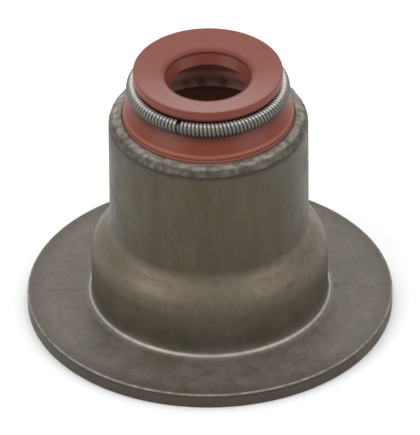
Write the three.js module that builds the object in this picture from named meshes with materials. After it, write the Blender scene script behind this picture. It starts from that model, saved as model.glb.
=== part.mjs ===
// Valve stem seal with a built-in spring seat. Millimetres, +Z up along the valve stem.
// The origin is the centre of the flange's underside, which stands on the cylinder head.
//
// The steel housing and the rubber moulding are bodies of revolution, each turned from one closed
// profile. The garter spring is one wire: it is wound into a long coil, the coil is bent into a ring,
// and its thin end is screwed into its open end.
//
// The radii grow outwards from the stem and the guide, each by its own step: lip, spring groove and
// head from the stem, and lining, sleeve, skirt and flange from the guide.

import * as THREE from "three";

// The valve that the seal serves
const stemDiameter = 6.0;
const guideDiameter = 10.5;

// Steel housing, pressed from sheet
const housingWall = 1.0;
const sleeveHeight = 17.45; // underside of the flange to the top of the rim
const rimRound = 0.9; // outer edge of the rim
const rimInnerRound = 0.05;
const skirtStep = 1.45; // from the sleeve's outside to the skirt's
const skirtHeight = 4.7; // underside of the flange to where the shoulder starts
const shoulderRound = 3.0; // convex bend at the top of the skirt, outside
const flareRound = 1.5; // concave bend above it, outside
const flangeWidth = 4.95; // from the skirt's outside to the flange's edge
const flangeThickness = 1.2;
const flangeFillet = 0.57; // between the flange's top and the skirt
const flangeEdgeRound = 0.14;

// Rubber moulding: the lining that grips the guide
const liningThickness = 1.35; // between the guide and the housing
const liningBottom = 9.0; // height of its lower end
const liningChamfer = 0.5; // lead-in for the guide
const bondFilm = 0.02; // adhesive between the rubber and the steel
const boreClearance = 0.05; // between the guide and the bore, away from the ribs
const ribCount = 3;
const ribHeight = 0.3;
const ribWidth = 0.8;
const ribPitch = 2.4;
const topRibDepth = 0.9; // from the top of the rim down to the middle of the first rib

// Rubber moulding: the collar, the cone and the head above the rim
const lipSqueeze = 0.1; // how far the free lip reaches into the stem's outline
const lipLand = 0.1; // height of the sealing edge
const lipWall = 2.21; // rubber between the sealing edge and the spring groove
const lipRise = 0.12; // from the middle of the spring up to the sealing edge
const collarRise = 0.45; // from the top of the rim to the ridge of the collar
const collarInset = 0.12; // how far the ridge leans in from the housing's bore
const collarRound = 0.06;
const springRise = 1.97; // from the ridge of the collar to the middle of the spring
const grooveDepth = 0.59;
const grooveLand = 0.14; // rubber below the groove's round
const grooveFlare = 0.36; // height over which the groove opens out above the spring
const coneLip = 0.07; // how far the lower edge of the groove stands out beyond the head
const headHeight = 0.65; // side of the head, from the groove's upper edge to the crown
const headRound = 0.08;
const dishDepth = 0.32; // how far the top face falls towards the funnel
const funnelWidth = 0.63; // the steeper ring round the mouth
const funnelDepth = 0.24;
const mouthStep = 0.38; // from the lip to the mouth
const mouthUndercut = 0.07;
const undercutHeight = 0.2;
const cavityDrop = 2.02; // from the lip down to the wall of the cavity under it

// Garter spring
const wireDiameter = 0.26;
const coilDiameter = 1.1;
const coilTurns = 123;
const nibTurns = 4; // turns of the thin end inside the open end
const taperTurns = 2; // turns over which the thin end narrows
const springClearance = 0.03; // between the coil and its groove
const nibClearance = 0.03; // between the thin end and the turns around it
const jointAngle = -114; // where the ends meet, in degrees from +X seen from above

// Smoothness
const roundSegments = 48; // round the axis
const wireSides = 4;
const stepsPerTurn = 7;

// Radii and heights that follow from them
const guideRadius = guideDiameter / 2;
const sleeveInner = guideRadius + liningThickness;
const sleeveOuter = sleeveInner + housingWall;
const skirtOuter = sleeveOuter + skirtStep;
const skirtInner = skirtOuter - housingWall;
const flangeRadius = skirtOuter + flangeWidth;

const lipRadius = stemDiameter / 2 - lipSqueeze;
const grooveBottom = lipRadius + lipWall;
const headRadius = grooveBottom + grooveDepth;
const mouthRadius = lipRadius + mouthStep;
const grooveRound = coilDiameter / 2 + springClearance;
const springRadius = grooveBottom + grooveRound;
const boreRadius = guideRadius + boreClearance;

const ridgeHeight = sleeveHeight + collarRise;
const springHeight = ridgeHeight + springRise;
const coneTop = springHeight - grooveRound - grooveLand;
const headBottom = springHeight + grooveRound + grooveFlare;
const crownHeight = headBottom + headHeight;
const funnelHeight = crownHeight - dishDepth;
const mouthHeight = funnelHeight - funnelDepth;
const lipHeight = springHeight + lipRise;
const cavityHeight = lipHeight - cavityDrop;

const steel = new THREE.MeshStandardMaterial({ color: 0x7d766a, roughness: 0.42, metalness: 0.9 });
const rubber = new THREE.MeshStandardMaterial({ color: 0x8a4a40, roughness: 0.5, metalness: 0 });
const springWire = new THREE.MeshStandardMaterial({ color: 0x8f8c87, roughness: 0.35, metalness: 0.9 });

// Profile points are (radius, height). A profile runs up its outside, inwards over its top, down its
// inside and back out, so that its faces point away from the material.
function at(radius, height) {
  return new THREE.Vector2(radius, height);
}

function arc(centre, radius, fromDegrees, toDegrees, steps) {
  const points = [];
  for (let i = 0; i <= steps; i++) {
    const angle = THREE.MathUtils.degToRad(THREE.MathUtils.lerp(fromDegrees, toDegrees, i / steps));
    points.push(at(centre.x + radius * Math.cos(angle), centre.y + radius * Math.sin(angle)));
  }
  return points;
}

function turned(name, profile, material) {
  const closedProfile = [...profile, profile[0].clone()];
  const geometry = new THREE.LatheGeometry(closedProfile, roundSegments);
  geometry.rotateX(Math.PI / 2);
  const mesh = new THREE.Mesh(geometry, material);
  mesh.name = name;
  return mesh;
}

// The shoulder is an S: a convex bend out of the skirt and a concave one into the sleeve. Both turn
// by the same angle, and the inside of the sheet has the same two centres as the outside.
function shoulderBends() {
  const bothRounds = shoulderRound + flareRound;
  const turnAngle = Math.acos(1 - Math.min(skirtStep / bothRounds, 1));
  const flareHeight = skirtHeight + bothRounds * Math.sin(turnAngle);
  return {
    degrees: THREE.MathUtils.radToDeg(turnAngle),
    convexCentre: at(skirtOuter - shoulderRound, skirtHeight),
    concaveCentre: at(sleeveOuter + flareRound, flareHeight),
  };
}

function makeHousing() {
  const bends = shoulderBends();
  const filletCentre = at(skirtOuter + flangeFillet, flangeThickness + flangeFillet);
  const heelRound = flangeFillet + housingWall;
  const outerRimRound = Math.min(rimRound, housingWall - rimInnerRound);
  const profile = [
    ...arc(at(flangeRadius - flangeEdgeRound, flangeEdgeRound), flangeEdgeRound, -90, 0, 2),
    ...arc(at(flangeRadius - flangeEdgeRound, flangeThickness - flangeEdgeRound), flangeEdgeRound, 0, 90, 2),
    ...arc(filletCentre, flangeFillet, 270, 180, 4),
    ...arc(bends.convexCentre, shoulderRound, 0, bends.degrees, 5),
    ...arc(bends.concaveCentre, flareRound, 180 + bends.degrees, 180, 4),
    ...arc(at(sleeveOuter - outerRimRound, sleeveHeight - outerRimRound), outerRimRound, 0, 90, 4),
    ...arc(at(sleeveInner + rimInnerRound, sleeveHeight - rimInnerRound), rimInnerRound, 90, 180, 2),
    ...arc(bends.concaveCentre, flareRound + housingWall, 180, 180 + bends.degrees, 4),
    ...arc(bends.convexCentre, shoulderRound - housingWall, bends.degrees, 0, 3),
    ...arc(at(skirtInner + heelRound, heelRound), heelRound, 180, 270, 4),
  ];
  return turned("housing", profile, steel);
}

// Rings moulded round the bore: each is squeezed flat where the guide passes.
function gripRibs() {
  const points = [];
  for (let i = 0; i < ribCount; i++) {
    const middle = sleeveHeight - topRibDepth - i * ribPitch;
    points.push(at(boreRadius, middle + ribWidth / 2));
    points.push(at(boreRadius - ribHeight, middle));
    points.push(at(boreRadius, middle - ribWidth / 2));
  }
  return points;
}

function makeSealBody() {
  const bondRadius = sleeveInner - bondFilm;
  const ridgeRadius = sleeveInner - collarInset;
  const springCentre = at(springRadius, springHeight);
  const profile = [
    at(boreRadius + liningChamfer, liningBottom),
    at(bondRadius, liningBottom),
    at(bondRadius, sleeveHeight - rimInnerRound / 2),
    at(ridgeRadius, ridgeHeight - collarRound),
    at(ridgeRadius - collarRound, ridgeHeight),
    at(headRadius + coneLip, coneTop),
    ...arc(springCentre, grooveRound, 260, 130, 6),
    at(headRadius, headBottom),
    ...arc(at(headRadius - headRound, crownHeight - headRound), headRound, 0, 90, 3),
    at(mouthRadius + funnelWidth, funnelHeight),
    at(mouthRadius, mouthHeight),
    at(mouthRadius + mouthUndercut, mouthHeight - undercutHeight / 2),
    at(mouthRadius + mouthUndercut / 2, mouthHeight - undercutHeight),
    at(lipRadius, lipHeight + lipLand / 2),
    at(lipRadius, lipHeight - lipLand / 2),
    at(boreRadius - collarRound, cavityHeight),
    at(boreRadius, cavityHeight - collarRound),
    ...gripRibs(),
    at(boreRadius, liningBottom + liningChamfer),
  ];
  return turned("seal_body", profile, rubber);
}

// The centre line of the spring's wire. The coil's own axis is a circle round the valve stem, and the
// wire winds round that circle once per turn. It starts at its open end and runs clockwise, seen from
// above. Over the last turns of the ring it winds closer in, so that its end passes inside the first.
class CoiledRing extends THREE.Curve {
  constructor() {
    super();
    this.coilRadius = (coilDiameter - wireDiameter) / 2;
    this.nibRadius = this.coilRadius - wireDiameter - nibClearance;
    this.totalTurns = coilTurns + nibTurns;
  }

  // Steps are even in turns and not in length, so that every turn has its corners in the same places.
  getUtoTmapping(u) {
    return u;
  }

  radiusAt(turn) {
    const taper = THREE.MathUtils.clamp((turn - coilTurns + taperTurns) / taperTurns, 0, 1);
    return THREE.MathUtils.lerp(this.coilRadius, this.nibRadius, taper ** 3);
  }

  outwardAt(turn) {
    const aroundRing = THREE.MathUtils.degToRad(jointAngle) - (turn / coilTurns) * 2 * Math.PI;
    const aroundCoil = turn * 2 * Math.PI;
    const fromAxis = new THREE.Vector3(Math.cos(aroundRing), Math.sin(aroundRing), 0);
    const outward = fromAxis.clone().multiplyScalar(-Math.cos(aroundCoil));
    outward.z = -Math.sin(aroundCoil);
    return { fromAxis, outward };
  }

  getPoint(t, target = new THREE.Vector3()) {
    const turn = t * this.totalTurns;
    const { fromAxis, outward } = this.outwardAt(turn);
    target.copy(fromAxis).multiplyScalar(springRadius);
    target.addScaledVector(outward, this.radiusAt(turn));
    target.z += springHeight;
    return target;
  }

  // The wire's section keeps one corner turned away from the middle of the coil.
  computeFrenetFrames(steps) {
    const frames = { tangents: [], normals: [], binormals: [] };
    for (let i = 0; i <= steps; i++) {
      const tangent = this.getTangent(i / steps);
      const { outward } = this.outwardAt((i / steps) * this.totalTurns);
      const binormal = new THREE.Vector3().crossVectors(tangent, outward).normalize();
      const normal = new THREE.Vector3().crossVectors(binormal, tangent);
      frames.tangents.push(tangent);
      frames.normals.push(normal);
      frames.binormals.push(binormal);
    }
    return frames;
  }
}

function makeGarterSpring() {
  const section = new THREE.Shape(arc(at(0, 0), wireDiameter / 2, 0, 360, wireSides).slice(0, wireSides));
  const wirePath = new CoiledRing();
  const geometry = new THREE.ExtrudeGeometry(section, {
    steps: wirePath.totalTurns * stepsPerTurn,
    extrudePath: wirePath,
    bevelEnabled: false,
  });
  const mesh = new THREE.Mesh(geometry, springWire);
  mesh.name = "garter_spring";
  return mesh;
}

const group = new THREE.Group();
group.name = "valve_stem_seal";
group.add(makeHousing(), makeSealBody(), makeGarterSpring());

export default group;
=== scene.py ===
# A valve stem seal with a built-in spring seat, as it stands on a white table under soft light.
import math

import bmesh
import bpy
from mathutils import Matrix, Quaternion, Vector, noise


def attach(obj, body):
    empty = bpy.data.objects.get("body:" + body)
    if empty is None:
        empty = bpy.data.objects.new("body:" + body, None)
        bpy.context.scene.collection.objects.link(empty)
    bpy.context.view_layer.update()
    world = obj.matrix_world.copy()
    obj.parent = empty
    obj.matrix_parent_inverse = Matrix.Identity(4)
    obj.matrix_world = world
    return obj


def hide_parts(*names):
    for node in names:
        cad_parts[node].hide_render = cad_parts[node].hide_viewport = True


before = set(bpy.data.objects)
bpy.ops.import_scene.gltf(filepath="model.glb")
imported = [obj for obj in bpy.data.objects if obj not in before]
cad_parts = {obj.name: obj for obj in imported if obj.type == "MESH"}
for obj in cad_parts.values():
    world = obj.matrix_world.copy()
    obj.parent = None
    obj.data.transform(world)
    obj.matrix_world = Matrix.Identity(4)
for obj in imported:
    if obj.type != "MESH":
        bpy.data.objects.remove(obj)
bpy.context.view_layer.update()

# Housing
# A sleeve and its flange, deep-drawn in one piece from a disc of steel 1 to 1.2 mm thick. The flange is
# the seat that the valve spring stands on. The bare steel is grey-brown under a thin film of oil.

MM = 0.001
sleeve_inner = 6.60
wall = 1.00
rim_height = 17.45
rim_inner_round = 0.05
rim_outer_round = 0.90
skirt_step = 1.45
skirt_height = 4.70
shoulder_round = 3.00
flare_round = 1.50
flange_width = 4.95
flange_thickness = 1.20
flange_fillet = 0.57
flange_edge_round = 0.14

sleeve_outer = sleeve_inner + wall
skirt_outer = sleeve_outer + skirt_step
skirt_inner = skirt_outer - wall
flange_radius = skirt_outer + flange_width


def arc(radius, height, bend, start, end, steps):
    """Points (radius, height) in mm on an arc of radius bend, from start to end degrees."""
    angles = [math.radians(start + (end - start) * i / steps) for i in range(steps + 1)]
    return [(radius + bend * math.cos(a), height + bend * math.sin(a)) for a in angles]


def straight(start, end, steps):
    """The points between two ends, without the ends."""
    shares = [i / steps for i in range(1, steps)]
    return [tuple(a + (b - a) * s for a, b in zip(start, end)) for s in shares]


def spun(profile, segments):
    """A closed body of revolution from a closed profile in mm: an eighth is spun and doubled up."""
    bm = bmesh.new()
    corners = [bm.verts.new((radius * MM, 0, height * MM)) for radius, height in profile]
    edges = [bm.edges.new(pair) for pair in zip(corners, corners[1:] + corners[:1])]
    bmesh.ops.spin(
        bm,
        geom=corners + edges,
        cent=(0, 0, 0),
        axis=(0, 0, 1),
        angle=math.tau / 8,
        steps=segments // 8,
    )
    for share in (8, 4, 2):
        copy = bmesh.ops.duplicate(bm, geom=bm.verts[:] + bm.edges[:] + bm.faces[:])
        moved = [part for part in copy["geom"] if isinstance(part, bmesh.types.BMVert)]
        bmesh.ops.rotate(bm, verts=moved, matrix=Matrix.Rotation(math.tau / share, 3, "Z"))
    bmesh.ops.remove_doubles(bm, verts=bm.verts, dist=0.001 * MM)
    bmesh.ops.recalc_face_normals(bm, faces=bm.faces)
    return bm


def finished(bm, name):
    """The finished piece, smooth-shaded and in the scene."""
    mesh = bpy.data.meshes.new(name)
    bm.to_mesh(mesh)
    bm.free()
    mesh.shade_smooth()
    piece = bpy.data.objects.new(name, mesh)
    bpy.context.scene.collection.objects.link(piece)
    return piece


def housing_profile():
    """The outline of the pressed sheet, from the flange's edge up the outside and down the inside."""
    both_bends = shoulder_round + flare_round
    turn = math.acos(1 - skirt_step / both_bends)
    bend = math.degrees(turn)
    flare_height = skirt_height + both_bends * math.sin(turn)
    convex = (skirt_outer - shoulder_round, skirt_height)
    concave = (sleeve_outer + flare_round, flare_height)
    heel = flange_fillet + wall
    edge_radius = flange_radius - flange_edge_round
    seat_height = flange_thickness + flange_fillet
    rim_middle = sleeve_outer - rim_outer_round
    underside = arc(edge_radius, flange_edge_round, flange_edge_round, -90, 0, 6)
    seat_edge = arc(edge_radius, flange_thickness - flange_edge_round, flange_edge_round, 0, 90, 6)
    fillet = arc(skirt_outer + flange_fillet, seat_height, flange_fillet, 270, 180, 12)
    shoulder = arc(*convex, shoulder_round, 0, bend, 20)
    flare = arc(*concave, flare_round, 180 + bend, 180, 14)
    rim = arc(rim_middle, rim_height - rim_outer_round, rim_outer_round, 0, 90, 20)
    rim_inside = arc(
        sleeve_inner + rim_inner_round, rim_height - rim_inner_round, rim_inner_round, 90, 180, 4
    )
    flare_inside = arc(*concave, flare_round + wall, 180, 180 + bend, 14)
    shoulder_inside = arc(*convex, shoulder_round - wall, bend, 0, 14)
    heel_inside = arc(skirt_inner + heel, heel, heel, 180, 270, 14)
    return [
        *underside,
        *seat_edge,
        *straight(seat_edge[-1], fillet[0], 16),
        *fillet,
        *straight(fillet[-1], shoulder[0], 12),
        *shoulder,
        *flare[1:],
        *straight(flare[-1], rim[0], 36),
        *rim,
        *rim_inside,
        *straight(rim_inside[-1], flare_inside[0], 12),
        *flare_inside,
        *shoulder_inside[1:],
        *straight(shoulder_inside[-1], heel_inside[0], 6),
        *heel_inside,
        *straight(heel_inside[-1], underside[0], 8),
    ]


# The press has smeared and torn the rim, so that it is lumpy where the rest is smooth.
def torn_rim(bm):
    coarse_size, coarse_depth = 0.55, 0.055
    fine_size, fine_depth = 0.22, 0.025
    fade = 0.4
    for vert in bm.verts:
        height = vert.co.z / MM
        radius = math.hypot(vert.co.x, vert.co.y) / MM
        share = min(max((height - rim_height + rim_outer_round) / fade, 0), 1)
        if share > 0 and radius > sleeve_inner + 0.05:
            coarse = noise.noise(vert.co / (coarse_size * MM))
            fine = noise.noise(vert.co / (fine_size * MM))
            vert.co += vert.normal * share * (coarse_depth * coarse + fine_depth * fine) * MM


housing_bm = spun(housing_profile(), 400)
torn_rim(housing_bm)
housing = finished(housing_bm, "pressed_housing")
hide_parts("housing")
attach(housing, "root")


def linear(colour):
    """A sRGB hex colour as linear red, green, blue and alpha."""
    parts = [int(colour[i:i + 2], 16) / 255 for i in (1, 3, 5)]
    return (*[c / 12.92 if c <= 0.04045 else ((c + 0.055) / 1.055) ** 2.4 for c in parts], 1)


def add(tree, kind, settings=None, **inputs):
    """Adds a node with its settings. An input, by name or as in0, in1, takes a value, a hex colour,
    a socket, or another node's first working output."""
    node = tree.nodes.new("ShaderNode" + kind)
    for key, value in (settings or {}).items():
        setattr(node, key, value)
    for key, value in inputs.items():
        by_place = key.startswith("in") and key[2:].isdigit()
        socket = node.inputs[int(key[2:]) if by_place else key.replace("_", " ")]
        if isinstance(value, bpy.types.Node):
            value = next(output for output in value.outputs if output.enabled)
        if isinstance(value, bpy.types.NodeSocket):
            tree.links.new(value, socket)
        else:
            socket.default_value = linear(value) if isinstance(value, str) else value
    return node


def new_material(name):
    material = bpy.data.materials.new(name)
    material.use_nodes = True
    material.node_tree.nodes.clear()
    return material, material.node_tree


def measures(tree):
    """The place on the piece, its height and its distance from the stem's axis, all in mm."""
    place = add(tree, "TexCoord").outputs["Object"]
    place = add(tree, "VectorMath", {"operation": "SCALE"}, in0=place, Scale=1 / MM)
    height = add(tree, "SeparateXYZ", Vector=place).outputs["Z"]
    level = add(tree, "VectorMath", {"operation": "MULTIPLY"}, in0=place, in1=(1, 1, 0))
    return place, height, add(tree, "VectorMath", {"operation": "LENGTH"}, in0=level)


def distance_to(tree, place, middle, stretch=(1, 1, 1)):
    """The distance in mm to a small mark, which is longer along an axis whose stretch is under 1."""
    squeezed = add(tree, "VectorMath", {"operation": "MULTIPLY"}, in0=place, in1=stretch)
    near = [part * factor for part, factor in zip(middle, stretch)]
    return add(tree, "VectorMath", {"operation": "DISTANCE"}, in0=squeezed, in1=near)


def region(tree, share, *limits):
    """A share from 0 up to the given one. Each limit is a measure, its value where the region ends
    and its value where it is full."""
    for measure, ends, full in limits:
        step = add(
            tree,
            "MapRange",
            {"interpolation_type": "SMOOTHSTEP"},
            Value=measure,
            From_Min=ends,
            From_Max=full,
        )
        share = add(tree, "Math", {"operation": "MULTIPLY"}, in0=step, in1=share)
    return share


def coat(tree, under, over, share, *limits):
    """One colour or tone over another, by a share and inside the limits of a region."""
    cover = region(tree, share, *limits)
    return add(tree, "Mix", {"data_type": "RGBA"}, in0=cover, in6=under, in7=over)


# Deep-drawn mild steel, bare and lightly oiled: a dull satin grey-brown clouded with olive and rose,
# with painted highlights on the shoulder, fillet, flange corner and rim top, painted shade on the
# sleeve and the sheared edge, and a smeared rim above a thin dark line.
def pressed_steel():
    material, tree = new_material("deep_drawn_steel")
    place, height, radius = measures(tree)

    cloud_size = 2.6
    streak_size = 1.5
    blotch_size = 0.45
    tear_size = 0.55
    grain_size = 0.16    # the real grain is finer, and this is about as fine as shows
    along_stem = add(tree, "VectorMath", {"operation": "MULTIPLY"}, in0=place, in1=(1, 1, 0.2))
    cloudy = add(tree, "TexNoise", Vector=place, Scale=1 / cloud_size, Detail=3.0, Roughness=0.6)
    streaks = add(
        tree, "TexNoise", Vector=along_stem, Scale=1 / streak_size, Detail=4.0, Roughness=0.6
    )
    blotches = add(tree, "TexNoise", Vector=place, Scale=1 / blotch_size, Detail=3.0, Roughness=0.6)
    torn = add(tree, "TexNoise", Vector=place, Scale=1 / tear_size, Detail=3.0, Roughness=0.6)
    grain = add(tree, "TexNoise", Vector=place, Scale=1 / grain_size, Detail=2.0, Roughness=0.6)
    clouds = region(tree, 1.0, (cloudy, 0.35, 0.65))
    stain = "#332d27"

    # The drawn wall: the sleeve is toned darker than the skirt and the flange as painted shade, and a
    # paler band round the shoulder is a painted highlight
    sleeve = coat(tree, "#46412e", "#4d4438", clouds)
    skirt = coat(tree, "#524c3b", "#5a5148", clouds)
    drawn = coat(tree, skirt, sleeve, 1.0, (height, skirt_height, skirt_height + 3.5))
    drawn = coat(tree, drawn, "#625a4a", 0.3, (streaks, 0.35, 0.65))
    # Painted highlight: a paler band round the shoulder
    drawn = coat(
        tree,
        drawn,
        "#6b6153",
        0.8,
        (height, skirt_height + 0.6, skirt_height + 1.5),
        (height, skirt_height + 3.4, skirt_height + 2.5),
    )

    # The flange, stained towards its edge, with one faint scratch
    flat = coat(tree, "#655f54", "#716962", clouds)
    flat = coat(tree, flat, "#544d43", 0.7, (radius, flange_radius - 1.6, flange_radius - 0.2))
    scratch = distance_to(tree, place, (-11.2, -0.15, flange_thickness), (0.06, 1, 1))
    flat = coat(tree, flat, stain, 0.3, (scratch, 0.12, 0.048))
    on_wall = region(tree, 1.0, (height, 1.3, 2.6))
    tone = coat(tree, flat, drawn, on_wall)

    # A painted highlight along the fillet, and the small burr beside it
    tone = coat(
        tree,
        tone,
        "#a8a298",
        1.0,
        (height, flange_thickness + 0.09, flange_thickness + 0.15),
        (height, flange_thickness + 0.31, flange_thickness + 0.25),
    )
    burr = distance_to(tree, place, (skirt_outer + 0.6, 0.1, flange_thickness))
    tone = coat(tree, tone, stain, 0.6, (burr, 0.28, 0.112))

    # The sheared edge, toned darker as painted shade, with a dark line under its upper corner and a
    # painted highlight along that corner
    tone = coat(
        tree, tone, "#443c33", 1.0, (height, flange_thickness - 0.06, flange_thickness - 0.14)
    )
    tone = coat(tree, tone, "#352f28", 1.0, (height, 0.90, 0.95), (height, 1.08, 1.03))
    # Painted highlight along the rounded upper corner of the edge, broken up by noise
    corner_highlight = add(
        tree,
        "MapRange",
        {"interpolation_type": "SMOOTHSTEP"},
        Value=torn,
        From_Min=0.35,
        From_Max=0.60,
        To_Min=0.3,
    )
    tone = coat(
        tree,
        tone,
        "#8a8276",
        corner_highlight,
        (radius, flange_radius - 0.16, flange_radius - 0.10),
        (height, flange_thickness - 0.12, flange_thickness - 0.07),
    )

    # The smeared rim, with a painted highlight along its top, and the uneven dark line where it starts
    rim_start = rim_height - 0.52
    rim_edge = add(tree, "Math", {"operation": "MULTIPLY_ADD"}, in0=torn, in1=0.30, in2=height)
    on_rim = region(tree, 1.0, (rim_edge, rim_start, rim_start + 0.12))
    tone = coat(tree, tone, "#2a251f", 0.8, (rim_edge, rim_start - 0.5, rim_start), (on_rim, 1, 0))
    smeared = coat(tree, "#403b32", "#5e584e", 1.0, (torn, 0.36, 0.66))
    # Painted highlight: the paler tones along the top of the rim
    rim_highlight = coat(tree, "#676157", "#8b857a", 1.0, (torn, 0.36, 0.60))
    rim = coat(tree, smeared, rim_highlight, 1.0, (height, rim_height - 0.26, rim_height - 0.10))
    tone = coat(tree, tone, rim, on_rim)

    # Small dark stains all over, and one larger one on the shoulder
    tone = coat(tree, tone, stain, 0.45, (blotches, 0.31, 0.25))
    dent = distance_to(tree, place, (5.97, -6.19, skirt_height + 1.2), (0.35, 0.35, 1))
    tone = coat(tree, tone, stain, 0.4, (dent, 0.30, 0.12))
    tone = coat(tree, tone, "#3a3429", 0.22, (blotches, 0.40, 0.65))

    rough = add(
        tree,
        "MapRange",
        {"interpolation_type": "SMOOTHSTEP"},
        Value=clouds,
        From_Min=0.3,
        From_Max=0.7,
        To_Min=0.44,
        To_Max=0.54,
    )
    # The wall is rubbed cleaner than the flange, so it shines a little more like bare metal.
    metal = add(
        tree,
        "MapRange",
        {"interpolation_type": "SMOOTHSTEP"},
        Value=on_wall,
        To_Min=0.40,
        To_Max=0.50,
    )
    tears = add(tree, "Math", {"operation": "MULTIPLY"}, in0=torn, in1=on_rim)
    tears = add(tree, "Math", {"operation": "MULTIPLY"}, in0=tears, in1=0.9)
    lumps = add(tree, "Math", {"operation": "MULTIPLY_ADD"}, in0=grain, in1=0.25, in2=tears)
    bump = add(tree, "Bump", Height=lumps, Strength=0.6, Distance=0.05 * MM)
    shader = add(
        tree, "BsdfPrincipled", Base_Color=tone, Metallic=metal, Roughness=rough, Normal=bump
    )
    add(tree, "OutputMaterial", Surface=shader)
    return material


housing.data.materials.append(pressed_steel())

# Seal body
# One red-brown fluoroelastomer moulding, bonded inside the sleeve. Its head carries the sealing lip
# and the groove for the spring, and its lining grips the valve guide with moulded rings.

bond_film = 0.02
lining_bottom = 9.00
lining_chamfer = 0.50
bore_radius = 5.30
rib_height = 0.30
rib_width = 0.80
rib_pitch = 2.40
rib_count = 3
top_rib_depth = 0.90
ridge_height = rim_height + 0.45
ridge_radius = sleeve_inner - 0.12
ridge_round = 0.06
lip_radius = 2.90
lip_land = 0.10
groove_bottom = lip_radius + 2.21
groove_round = 0.58
spring_radius = groove_bottom + groove_round
spring_height = ridge_height + 1.97
lip_height = spring_height + 0.12
head_radius = groove_bottom + 0.59
groove_land = 0.14
groove_flare = 0.36
cone_lip = 0.07
head_round = 0.08
head_bottom = spring_height + groove_round + groove_flare
crown_height = head_bottom + 0.65
funnel_width = 0.63
funnel_height = crown_height - 0.32
mouth_height = funnel_height - 0.24
mouth_radius = lip_radius + 0.38
mouth_undercut = 0.07
undercut_height = 0.20
cavity_height = lip_height - 2.02


def funnel_profile():
    """The ring round the mouth: it leaves the top face softly and ends in a sharp crease."""
    points = []
    for i in range(9):
        share = i / 8
        depth = 0.55 * share + 0.45 * share * share
        radius = mouth_radius + funnel_width * (1 - share)
        points.append((radius, funnel_height - depth * (funnel_height - mouth_height)))
    return points


def seal_profile():
    """The outline of the moulding, up the outside from its lining and down again through the bore."""
    bond_radius = sleeve_inner - bond_film
    bond_top = (bond_radius, rim_height - rim_inner_round / 2)
    cone_top = (head_radius + cone_lip, spring_height - groove_round - groove_land)
    ridge = arc(ridge_radius - ridge_round, ridge_height - ridge_round, ridge_round, 0, 60, 4)
    groove = arc(spring_radius, spring_height, groove_round, 260, 130, 20)
    head_side = (head_radius, head_bottom)
    crown = arc(head_radius - head_round, crown_height - head_round, head_round, 0, 95, 8)
    funnel = funnel_profile()
    undercut = [
        (mouth_radius + mouth_undercut, mouth_height - undercut_height / 2),
        (mouth_radius + mouth_undercut / 2, mouth_height - undercut_height),
    ]
    lip = arc(lip_radius + lip_land / 2, lip_height, lip_land / 2, 130, 230, 6)
    cavity = arc(bore_radius - 0.15, cavity_height - 0.15, 0.15, 60, 0, 4)
    ribs = []
    for i in range(rib_count):
        middle = rim_height - top_rib_depth - i * rib_pitch
        ribs.append((bore_radius, middle + rib_width / 2))
        ribs.extend(arc(bore_radius - rib_height + 0.08, middle, 0.08, 120, 240, 4))
        ribs.append((bore_radius, middle - rib_width / 2))
    return [
        (bore_radius + lining_chamfer, lining_bottom),
        (bond_radius, lining_bottom),
        *straight((bond_radius, lining_bottom), bond_top, 6),
        bond_top,
        *ridge,
        *straight(ridge[-1], cone_top, 8),
        cone_top,
        *groove,
        head_side,
        *straight(head_side, crown[0], 4),
        *crown,
        *straight(crown[-1], funnel[0], 8),
        *funnel,
        *undercut,
        *straight(undercut[-1], lip[0], 5),
        *lip,
        *straight(lip[-1], cavity[0], 8),
        *cavity,
        *ribs,
        (bore_radius, lining_bottom + lining_chamfer),
    ]


seal_body = finished(spun(seal_profile(), 320), "rubber_seal_body")
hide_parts("seal_body")
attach(seal_body, "root")
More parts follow.
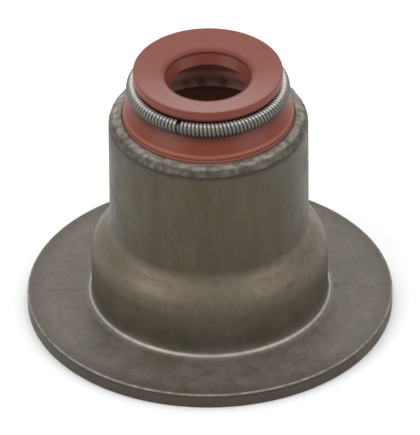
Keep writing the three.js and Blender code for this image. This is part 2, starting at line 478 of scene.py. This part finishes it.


# Fluoroelastomer, moulded in a fine-blasted tool: an even red-brown skin with hardly any grain, a
# painted sheen on the top face, a painted highlight on the collar's ridge, a lighter flash above the
# steel rim, painted shadow round the spring and painted light inside the bore.
def seal_rubber():
    material, tree = new_material("moulded_fluoroelastomer")
    place, height, radius = measures(tree)

    skin_size = 0.12    # the real blasted skin is finer, and this is about as fine as shows
    patch_size = 1.3
    skin = add(tree, "TexNoise", Vector=place, Scale=1 / skin_size, Detail=2.0)
    patches = add(tree, "TexNoise", Vector=place, Scale=1 / patch_size, Detail=2.0)

    # The skin, with painted shadow round and under the spring, and a painted sheen that makes the top
    # face paler
    tone = coat(tree, "#6a2f22", "#733627", patches.outputs["Fac"])
    # Painted shadow: a darker tone in the groove and on the cone round and under the spring
    tone = coat(
        tree,
        tone,
        "#3a1d17",
        0.62,
        (height, spring_height - 1.25, spring_height - 0.70),
        (height, head_bottom + 0.10, head_bottom - 0.10),
        (radius, groove_bottom - 0.5, groove_bottom - 0.2),
    )
    # Painted sheen: the top face is toned paler
    top_face_sheen = region(
        tree,
        1.0,
        (radius, head_radius, head_radius - head_round),
        (height, funnel_height - 0.16, funnel_height - 0.02),
    )
    tone = coat(tree, tone, coat(tree, "#73382a", "#7c3f30", patches.outputs["Fac"]), top_face_sheen)

    # A painted highlight along the ridge of the collar, and the thin flash between the collar and the
    # rim
    tone = coat(
        tree,
        tone,
        "#a0604f",
        0.5,
        (height, ridge_height - 0.16, ridge_height - 0.08),
        (height, ridge_height + 0.14, ridge_height + 0.04),
    )
    tone = coat(
        tree,
        tone,
        "#9a776d",
        0.5,
        (height, rim_height + 0.02, rim_height + 0.06),
        (height, rim_height + 0.18, rim_height + 0.12),
    )

    # Painted light inside the bore, paler towards the lip, and three dark spots on it behind the mouth
    bore_light = coat(tree, "#8a5c50", "#a8776a", 1.0, (height, rim_height - 1.3, rim_height - 0.5))
    bore_light = coat(tree, bore_light, "#d9ab9c", 1.0, (height, rim_height - 0.4, rim_height + 0.2))
    tone = coat(
        tree,
        tone,
        bore_light,
        1.0,
        (radius, bore_radius + 0.10, bore_radius + 0.05),
        (height, lip_height - 0.15, lip_height - 0.45),
    )
    for across in (-1.66, -0.51, 1.17):
        behind = math.sqrt(bore_radius ** 2 - across ** 2)
        spot = distance_to(tree, place, (across, behind, rim_height - 0.7))
        tone = coat(tree, tone, "#2c1a16", 0.6, (spot, 0.60, 0.15))

    # The top face is also given more shine at a low angle than the rest of the skin.
    shine = add(tree, "MapRange", Value=top_face_sheen, To_Min=0.28, To_Max=0.50)
    bump = add(tree, "Bump", Height=skin, Strength=0.12, Distance=0.01 * MM)
    shader = add(
        tree,
        "BsdfPrincipled",
        Base_Color=tone,
        Roughness=0.40,
        Specular_IOR_Level=shine,
        Normal=bump,
    )
    add(tree, "OutputMaterial", Surface=shader)
    return material


seal_body.data.materials.append(seal_rubber())

# Garter spring
# One drawn steel wire, close-wound into a long thin coil whose tapered end is screwed into its open
# end to make a ring. It sits in the groove of the head and presses the lip onto the stem.

wire_diameter = 0.27
coil_diameter = 1.10
coil_turns = 123
nib_turns = 4
taper_turns = 2
nib_clearance = 0.02
joint_angle = math.radians(-114)
steps_per_turn = 20

coil_radius = (coil_diameter - wire_diameter) / 2
nib_radius = coil_radius - wire_diameter - nib_clearance
coil_pitch = math.tau * spring_radius / coil_turns


def straight_coil():
    """The wire wound into a straight coil along Z, from its open end at the origin, in mm."""
    bm = bmesh.new()
    bmesh.ops.create_circle(bm, radius=wire_diameter / 2, segments=10)
    upright = Matrix.Rotation(math.radians(90), 3, "X")
    bmesh.ops.rotate(bm, verts=bm.verts, matrix=upright)
    bmesh.ops.translate(bm, verts=bm.verts, vec=(coil_radius, 0, 0))
    bmesh.ops.spin(
        bm,
        geom=bm.verts[:] + bm.edges[:],
        cent=(0, 0, 0),
        axis=(0, 0, 1),
        dvec=(0, 0, coil_pitch / steps_per_turn),
        angle=math.tau,
        steps=steps_per_turn,
    )
    one_turn = bm.verts[:] + bm.edges[:] + bm.faces[:]
    for turn in range(1, coil_turns + nib_turns):
        copy = bmesh.ops.duplicate(bm, geom=one_turn)
        moved = [part for part in copy["geom"] if isinstance(part, bmesh.types.BMVert)]
        bmesh.ops.translate(bm, verts=moved, vec=(0, 0, coil_pitch * turn))
    bmesh.ops.remove_doubles(bm, verts=bm.verts, dist=0.001)
    bmesh.ops.holes_fill(bm, edges=[edge for edge in bm.edges if edge.is_boundary])
    return bm


def bent_into_ring(bm):
    """Narrows the thin end and bends the coil clockwise into its ring, with its ends at the joint."""
    for vert in bm.verts:
        x, y, along = vert.co
        phase = math.atan2(y, x) / math.tau
        turn = round(along / coil_pitch - phase) + phase
        share = min(max((turn - coil_turns + taper_turns) / taper_turns, 0), 1)
        keep = 1 - share ** 3 * (coil_radius - nib_radius) / math.hypot(x, y)
        around = joint_angle - along / coil_pitch / coil_turns * math.tau
        radius = spring_radius - x * keep
        vert.co = (
            radius * math.cos(around) * MM,
            radius * math.sin(around) * MM,
            (spring_height - y * keep) * MM,
        )


coil_bm = straight_coil()
bent_into_ring(coil_bm)
bmesh.ops.recalc_face_normals(coil_bm, faces=coil_bm.faces)
garter_spring = finished(coil_bm, "coiled_garter_spring")
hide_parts("garter_spring")
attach(garter_spring, "root")


# Drawn spring wire, satin and a little oily: each turn has a painted highlight, a pale line near its
# top, and painted shade that darkens the turns towards their undersides.
def spring_wire():
    material, tree = new_material("drawn_spring_wire")
    height = measures(tree)[1]
    tone = coat(
        tree, "#5b5652", "#74716c", 1.0, (height, spring_height - 0.10, spring_height + 0.40)
    )
    tone = coat(
        tree, tone, "#dddbd7", 1.0, (height, spring_height + 0.40, spring_height + 0.53)
    )
    shader = add(tree, "BsdfPrincipled", Base_Color=tone, Metallic=0.7, Roughness=0.45)
    add(tree, "OutputMaterial", Surface=shader)
    return material


garter_spring.data.materials.append(spring_wire())

# Table
# A smooth white table top, wide enough for its shine to reach every side of the part.

table_width = 1.6


def white_table():
    material, tree = new_material("white_laminate")
    shader = add(tree, "BsdfPrincipled", Base_Color="#f4f4f4", Roughness=0.8)
    add(tree, "OutputMaterial", Surface=shader)
    return material


bm = bmesh.new()
bmesh.ops.create_grid(bm, x_segments=2, y_segments=2, size=table_width / 2)
table_mesh = bpy.data.meshes.new("table_top")
bm.to_mesh(table_mesh)
bm.free()
table_top = bpy.data.objects.new("table_top", table_mesh)
bpy.context.scene.collection.objects.link(table_top)
table_top.data.materials.append(white_table())

# Light
# A small product studio: one large soft box overhead, a lit white wall behind the table, two smaller
# soft boxes at the front corners, and a dim room around them.


def soft_box(name, place, aim, width, height, watts):
    light = bpy.data.lights.new(name, "AREA")
    light.shape = "RECTANGLE"
    light.size = width
    light.size_y = height
    light.energy = watts
    lamp = bpy.data.objects.new(name, light)
    lamp.location = place
    lamp.rotation_euler = (Vector(aim) - Vector(place)).to_track_quat("-Z", "Y").to_euler()
    bpy.context.scene.collection.objects.link(lamp)


soft_box("overhead_box", (0, -0.08, 0.60), (0, -0.08, 0), 1.00, 1.10, 3.1)
soft_box("wall_box", (0, 0.90, 0.20), (0, 0, 0.10), 1.60, 0.40, 3.4)
soft_box("left_box", (-0.50, -0.30, 0.30), (0, 0, 0.01), 0.45, 0.38, 1.6)
soft_box("right_box", (0.52, -0.28, 0.30), (0, 0, 0.01), 0.45, 0.38, 1.3)

# White wall behind the table and a dim room in front of it
dim_room = 0.42
white_wall = 0.70

world = bpy.data.worlds.new("white_wall_and_dim_room")
bpy.context.scene.world = world
world.use_nodes = True
world.node_tree.nodes.clear()
towards = add(world.node_tree, "TexCoord").outputs["Generated"]
glow = add(
    world.node_tree,
    "MapRange",
    {"interpolation_type": "SMOOTHSTEP"},
    Value=add(world.node_tree, "SeparateXYZ", Vector=towards).outputs["Y"],
    From_Min=-0.5,
    From_Max=0.5,
    To_Min=dim_room,
    To_Max=white_wall,
)
walls = add(world.node_tree, "Background", Color="#ffffff", Strength=glow)
add(world.node_tree, "OutputWorld", Surface=walls)

# Camera
# A long lens, far off and about 36 degrees above the table. The photograph is 420 by 435 pixels, and
# the centre of the flange's underside shows at (209.3, 300.4) in it.

camera_distance = 0.9257
camera_height = math.radians(35.69)
camera_roll = math.radians(0.55)
frame_width = 420
frame_height = 435
origin_x = 209.3
origin_y = 300.4
mm_per_pixel = 0.07676
sensor = 36.0

back = Vector((0, -math.cos(camera_height), math.sin(camera_height)))
up = Vector((0, math.sin(camera_height), math.cos(camera_height)))
aside = (frame_width / 2 - origin_x) * mm_per_pixel * MM
above = (origin_y - frame_height / 2) * mm_per_pixel * MM
target = up * above + Vector((aside, 0, 0))

camera_data = bpy.data.cameras.new("camera")
camera_data.sensor_width = sensor
camera_data.lens = sensor * camera_distance / (frame_height * mm_per_pixel * MM)
camera_data.clip_start = 0.1
camera_data.clip_end = 10
camera = bpy.data.objects.new("camera", camera_data)
camera.location = back * camera_distance
look = (target - camera.location).to_track_quat("-Z", "Y")
camera.rotation_mode = "QUATERNION"
camera.rotation_quaternion = look @ Quaternion((0, 0, 1), -camera_roll)
bpy.context.scene.collection.objects.link(camera)
bpy.context.scene.camera = camera

bpy.context.scene.view_settings.view_transform = "Standard"
